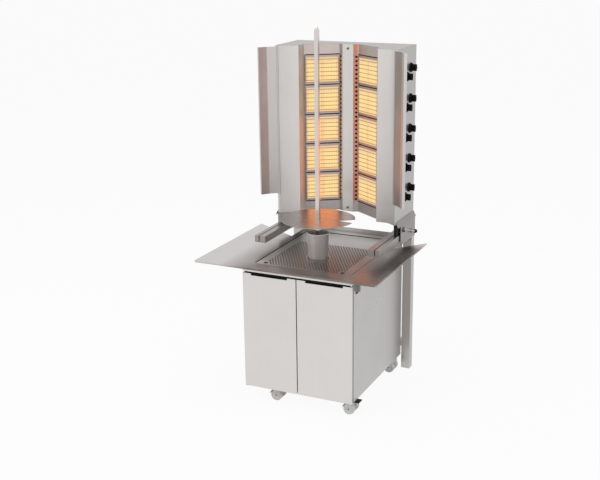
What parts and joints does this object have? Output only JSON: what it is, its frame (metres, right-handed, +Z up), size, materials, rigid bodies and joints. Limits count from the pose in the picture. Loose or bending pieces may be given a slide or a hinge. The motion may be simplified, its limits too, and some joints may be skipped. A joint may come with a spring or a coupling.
{
  "type": "doner kebab grill",
  "caption": "Free-standing gas grill with a turning upright skewer in front of a folded burner wall, over a wide worktop and a wheeled cabinet.",
  "frame": {"origin": "floor level, middle of the overall width and depth", "axes": "+X to the right, +Y to the back, +Z up; the skewer stands 70 mm right of the middle"},
  "size_m": [1, 0.817, 1.925],
  "materials": {
    "sheet_steel": "satin stainless sheet, fine grain along the longest side",
    "door_steel": "light satin stainless sheet",
    "worktop_steel": "satin stainless sheet with light scratches",
    "grid_steel": "perforated satin stainless sheet",
    "head_steel": "satin stainless sheet, slightly heat-tinted",
    "wing_steel": "bright stainless sheet",
    "frame_steel": "satin stainless tube",
    "burner_metal": "heat-darkened steel pressing",
    "glowing_ceramic": "glowing ceramic tile",
    "guard_wire": "heat-darkened wire",
    "cup_steel": "satin stainless",
    "skewer_steel": "polished stainless bar",
    "plate_steel": "satin stainless disc, slightly heat-tinted",
    "motor_paint": "dark grey machine paint",
    "black_plastic": "matt black",
    "knob_plastic": "matt black thermoset",
    "grey_plastic": "light grey",
    "wheel_plastic": "light grey soft tread",
    "gas_brass": "plain brass and plated pipe"
  },
  "bodies": {
    "base": {"cabinet_side_left": "sheet_steel", "cabinet_side_right": "sheet_steel", "cabinet_back": "sheet_steel", "cabinet_decks": "sheet_steel", "front_rail": "door_steel", "cable_gland": "black_plastic", "frame_left": "frame_steel", "frame_right": "frame_steel", "frame_crossbars": "frame_steel", "worktop": "worktop_steel", "drip_basin": "worktop_steel", "spindle_cup": "cup_steel", "gearmotor": "motor_paint"},
    "drive": {"drive_shaft": "skewer_steel"},
    "skewer": {"skewer": "skewer_steel", "meat_plate": "plate_steel"},
    "grid": {"perforated_grid": "grid_steel"},
    "door_left": {"door_left": "door_steel"},
    "door_right": {"door_right": "door_steel"},
    "switch": {"switch_handle": "grey_plastic"},
    "head": {"head_roof": "head_steel", "head_floor": "head_steel", "head_side_left": "head_steel", "head_side_right": "head_steel", "head_back": "head_steel", "centre_post": "head_steel", "cheek_left": "head_steel", "cheek_right": "head_steel", "panel_left": "head_steel", "panel_right": "head_steel", "burner_bodies": "burner_metal", "ceramic_tiles": "glowing_ceramic", "burner_guards": "guard_wire", "gas_train": "gas_brass", "carriage_left": "frame_steel", "carriage_right": "frame_steel", "carriage_glides": "black_plastic"},
    "lever": {"lock_lever": "black_plastic"},
    "wing_left": {"wing_left": "wing_steel"},
    "wing_right": {"wing_right": "wing_steel"},
    "knob_rear_1": {"knob_rear_1": "knob_plastic"},
    "knob_front_1": {"knob_front_1": "knob_plastic"},
    "knob_rear_2": {"knob_rear_2": "knob_plastic"},
    "knob_front_2": {"knob_front_2": "knob_plastic"},
    "knob_rear_3": {"knob_rear_3": "knob_plastic"},
    "knob_front_3": {"knob_front_3": "knob_plastic"},
    "knob_rear_4": {"knob_rear_4": "knob_plastic"},
    "knob_front_4": {"knob_front_4": "knob_plastic"},
    "knob_rear_5": {"knob_rear_5": "knob_plastic"},
    "knob_front_5": {"knob_front_5": "knob_plastic"},
    "fork_front_left": {"caster_fork_front_left": "grey_plastic"},
    "wheels_front_left": {"caster_wheels_front_left": "wheel_plastic"},
    "pedal_front_left": {"brake_pedal_front_left": "black_plastic"},
    "fork_front_right": {"caster_fork_front_right": "grey_plastic"},
    "wheels_front_right": {"caster_wheels_front_right": "wheel_plastic"},
    "pedal_front_right": {"brake_pedal_front_right": "black_plastic"},
    "fork_rear_left": {"caster_fork_rear_left": "grey_plastic"},
    "wheels_rear_left": {"caster_wheels_rear_left": "wheel_plastic"},
    "fork_rear_right": {"caster_fork_rear_right": "grey_plastic"},
    "wheels_rear_right": {"caster_wheels_rear_right": "wheel_plastic"}
  },
  "joints": [
    {"name": "drive_turn", "type": "hinge", "parent": "base", "child": "drive", "pos_m": [0.07, -0.1165, 0.9422], "axis": [0, 0, 1], "continuous": true},
    {"name": "skewer_lift", "type": "slide", "parent": "drive", "child": "skewer", "axis": [0, 0, 1], "range_m": [0, 0.06]},
    {"name": "grid_lift", "type": "slide", "parent": "base", "child": "grid", "axis": [0, 0, 1], "range_m": [0, 0.1]},
    {"name": "door_left_hinge", "type": "hinge", "parent": "base", "child": "door_left", "pos_m": [-0.223, -0.3775, 0.08], "axis": [0, 0, 1], "range_deg": [-110, 0]},
    {"name": "door_right_hinge", "type": "hinge", "parent": "base", "child": "door_right", "pos_m": [0.363, -0.3775, 0.08], "axis": [0, 0, 1], "range_deg": [0, 110]},
    {"name": "switch_turn", "type": "hinge", "parent": "base", "child": "switch", "pos_m": [0.37, -0.3205, 0.688], "axis": [1, 0, 0], "range_deg": [0, 90]},
    {"name": "head_slide", "type": "slide", "parent": "base", "child": "head", "axis": [0, 1, 0], "range_m": [-0.12, 0.06]},
    {"name": "lever_turn", "type": "hinge", "parent": "head", "child": "lever", "pos_m": [0.4255, 0.1885, 0.846], "axis": [1, 0, 0], "range_deg": [0, 60]},
    {"name": "wing_left_hinge", "type": "hinge", "parent": "head", "child": "wing_left", "pos_m": [-0.2555, 0.10241, 0.998], "axis": [0, 0, 1], "range_deg": [-25, 60]},
    {"name": "wing_right_hinge", "type": "hinge", "parent": "head", "child": "wing_right", "pos_m": [0.3955, 0.10241, 0.998], "axis": [0, 0, 1], "range_deg": [-60, 25]},
    {"name": "knob_rear_1_turn", "type": "hinge", "parent": "head", "child": "knob_rear_1", "pos_m": [0.409, 0.3015, 1.67825], "axis": [1, 0, 0], "range_deg": [-90, 90]},
    {"name": "knob_front_1_turn", "type": "hinge", "parent": "head", "child": "knob_front_1", "pos_m": [0.409, 0.2435, 1.63825], "axis": [1, 0, 0], "range_deg": [-90, 90]},
    {"name": "knob_rear_2_turn", "type": "hinge", "parent": "head", "child": "knob_rear_2", "pos_m": [0.409, 0.3015, 1.52075], "axis": [1, 0, 0], "range_deg": [-90, 90]},
    {"name": "knob_front_2_turn", "type": "hinge", "parent": "head", "child": "knob_front_2", "pos_m": [0.409, 0.2435, 1.48075], "axis": [1, 0, 0], "range_deg": [-90, 90]},
    {"name": "knob_rear_3_turn", "type": "hinge", "parent": "head", "child": "knob_rear_3", "pos_m": [0.409, 0.3015, 1.36325], "axis": [1, 0, 0], "range_deg": [-90, 90]},
    {"name": "knob_front_3_turn", "type": "hinge", "parent": "head", "child": "knob_front_3", "pos_m": [0.409, 0.2435, 1.32325], "axis": [1, 0, 0], "range_deg": [-90, 90]},
    {"name": "knob_rear_4_turn", "type": "hinge", "parent": "head", "child": "knob_rear_4", "pos_m": [0.409, 0.3015, 1.20575], "axis": [1, 0, 0], "range_deg": [-90, 90]},
    {"name": "knob_front_4_turn", "type": "hinge", "parent": "head", "child": "knob_front_4", "pos_m": [0.409, 0.2435, 1.16575], "axis": [1, 0, 0], "range_deg": [-90, 90]},
    {"name": "knob_rear_5_turn", "type": "hinge", "parent": "head", "child": "knob_rear_5", "pos_m": [0.409, 0.3015, 1.04825], "axis": [1, 0, 0], "range_deg": [-90, 90]},
    {"name": "knob_front_5_turn", "type": "hinge", "parent": "head", "child": "knob_front_5", "pos_m": [0.409, 0.2435, 1.00825], "axis": [1, 0, 0], "range_deg": [-90, 90]},
    {"name": "swivel_front_left", "type": "hinge", "parent": "base", "child": "fork_front_left", "pos_m": [-0.097, -0.3065, 0.08], "axis": [0, 0, 1], "continuous": true},
    {"name": "spin_front_left", "type": "hinge", "parent": "fork_front_left", "child": "wheels_front_left", "pos_m": [-0.075, -0.3065, 0.03], "axis": [0, 1, 0], "continuous": true},
    {"name": "brake_front_left", "type": "hinge", "parent": "fork_front_left", "child": "pedal_front_left", "pos_m": [-0.057, -0.3065, 0.066], "axis": [0, 1, 0], "range_deg": [0, 15]},
    {"name": "swivel_front_right", "type": "hinge", "parent": "base", "child": "fork_front_right", "pos_m": [0.313, -0.3065, 0.08], "axis": [0, 0, 1], "continuous": true},
    {"name": "spin_front_right", "type": "hinge", "parent": "fork_front_right", "child": "wheels_front_right", "pos_m": [0.335, -0.3065, 0.03], "axis": [0, 1, 0], "continuous": true},
    {"name": "brake_front_right", "type": "hinge", "parent": "fork_front_right", "child": "pedal_front_right", "pos_m": [0.353, -0.3065, 0.066], "axis": [0, 1, 0], "range_deg": [0, 15]},
    {"name": "swivel_rear_left", "type": "hinge", "parent": "base", "child": "fork_rear_left", "pos_m": [-0.097, 0.2635, 0.08], "axis": [0, 0, 1], "continuous": true},
    {"name": "spin_rear_left", "type": "hinge", "parent": "fork_rear_left", "child": "wheels_rear_left", "pos_m": [-0.075, 0.2635, 0.03], "axis": [0, 1, 0], "continuous": true},
    {"name": "swivel_rear_right", "type": "hinge", "parent": "base", "child": "fork_rear_right", "pos_m": [0.313, 0.2635, 0.08], "axis": [0, 0, 1], "continuous": true},
    {"name": "spin_rear_right", "type": "hinge", "parent": "fork_rear_right", "child": "wheels_rear_right", "pos_m": [0.335, 0.2635, 0.03], "axis": [0, 1, 0], "continuous": true}
  ]
}
